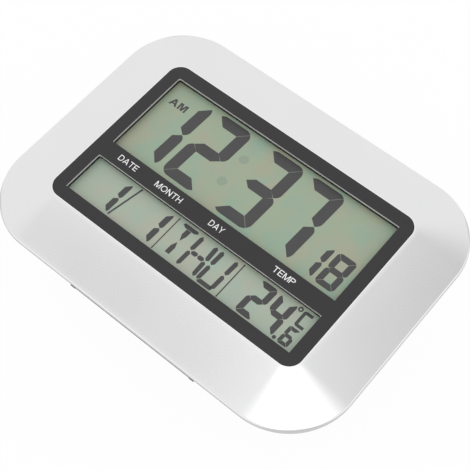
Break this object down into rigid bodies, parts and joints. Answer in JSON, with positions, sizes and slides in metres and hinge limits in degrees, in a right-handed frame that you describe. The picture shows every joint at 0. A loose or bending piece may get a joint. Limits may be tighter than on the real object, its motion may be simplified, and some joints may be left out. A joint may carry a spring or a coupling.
{
  "type": "digital day clock",
  "caption": "Free-standing digital clock: silver frame, black panel with time and date windows, fold-out stand, rear buttons and battery door.",
  "frame": {"origin": "middle of the back face, as the clock lies on its back", "axes": "+X to the clock's right, +Y to its top, +Z out of its face"},
  "size_m": [0.256, 0.1886, 0.028],
  "materials": {
    "silver_plastic": "satin silver paint",
    "black_sheet": "printed satin black",
    "black_foam": "closed-cell foam",
    "display_film": "anti-glare",
    "display_glass": "clear",
    "reflector_film": "satin",
    "contact_rubber": "matte",
    "white_plastic": "moulded",
    "screw_steel": "zinc plated",
    "board_laminate": "solder mask",
    "black_epoxy": "cured epoxy",
    "bright_can": "plated",
    "capacitor_body": "fired",
    "switch_plastic": "moulded",
    "dark_plastic": "fine spark texture",
    "cell_jacket": "printed sleeve",
    "contact_steel": "nickel plated",
    "red_wire": "insulation",
    "black_wire": "insulation",
    "buzzer_brass": "rolled",
    "buzzer_ceramic": "silvered ceramic",
    "button_plastic": "satin"
  },
  "bodies": {
    "clock_body": {"aa_cells": "cell_jacket", "battery_contacts": "contact_steel", "battery_springs": "contact_steel", "board_capacitors": "capacitor_body", "board_screws": "screw_steel", "buzzer_ceramic": "buzzer_ceramic", "buzzer_disc": "buzzer_brass", "buzzer_leads": "black_wire", "contact_strip": "contact_rubber", "controller_blob": "black_epoxy", "cover_screws": "screw_steel", "front_frame": "silver_plastic", "front_glass": "display_glass", "front_polariser": "display_film", "holder_screws": "screw_steel", "lcd_gasket": "black_foam", "lcd_holder": "white_plastic", "main_board": "board_laminate", "negative_wire": "black_wire", "panel_overlay": "black_sheet", "positive_wire": "red_wire", "rear_cover": "dark_plastic", "rear_glass": "display_glass", "reflector": "reflector_film", "switch_bodies": "switch_plastic", "thermistor": "black_epoxy", "watch_crystal": "bright_can"},
    "stand": {"stand": "dark_plastic"},
    "battery_door": {"battery_door": "dark_plastic"},
    "alarm_button": {"alarm_button": "button_plastic", "alarm_stem": "switch_plastic"},
    "hour_mode_button": {"hour_mode_button": "button_plastic", "hour_mode_stem": "switch_plastic"},
    "set_button": {"set_button": "button_plastic", "set_stem": "switch_plastic"},
    "up_button": {"up_button": "button_plastic", "up_stem": "switch_plastic"},
    "down_button": {"down_button": "button_plastic", "down_stem": "switch_plastic"},
    "temperature_unit_button": {"temperature_unit_button": "button_plastic", "temperature_unit_stem": "switch_plastic"}
  },
  "joints": [
    {"name": "stand_fold", "type": "hinge", "parent": "clock_body", "child": "stand", "pos_m": [0, -0.08865, 0.0035], "axis": [-1, 0, 0], "range_deg": [0, 87]},
    {"name": "battery_door_tilt", "type": "hinge", "parent": "clock_body", "child": "battery_door", "pos_m": [0, 0.02475, 0.0001], "axis": [1, 0, 0], "range_deg": [0, 70]},
    {"name": "alarm_press", "type": "slide", "parent": "clock_body", "child": "alarm_button", "axis": [0, 0, 1], "range_m": [0, 0.0005], "stiffness_N_per_m": 1500},
    {"name": "hour_mode_press", "type": "slide", "parent": "clock_body", "child": "hour_mode_button", "axis": [0, 0, 1], "range_m": [0, 0.0005], "stiffness_N_per_m": 1500},
    {"name": "set_press", "type": "slide", "parent": "clock_body", "child": "set_button", "axis": [0, 0, 1], "range_m": [0, 0.0005], "stiffness_N_per_m": 1500},
    {"name": "up_press", "type": "slide", "parent": "clock_body", "child": "up_button", "axis": [0, 0, 1], "range_m": [0, 0.0005], "stiffness_N_per_m": 1500},
    {"name": "down_press", "type": "slide", "parent": "clock_body", "child": "down_button", "axis": [0, 0, 1], "range_m": [0, 0.0005], "stiffness_N_per_m": 1500},
    {"name": "temperature_unit_press", "type": "slide", "parent": "clock_body", "child": "temperature_unit_button", "axis": [0, 0, 1], "range_m": [0, 0.0005], "stiffness_N_per_m": 1500}
  ]
}
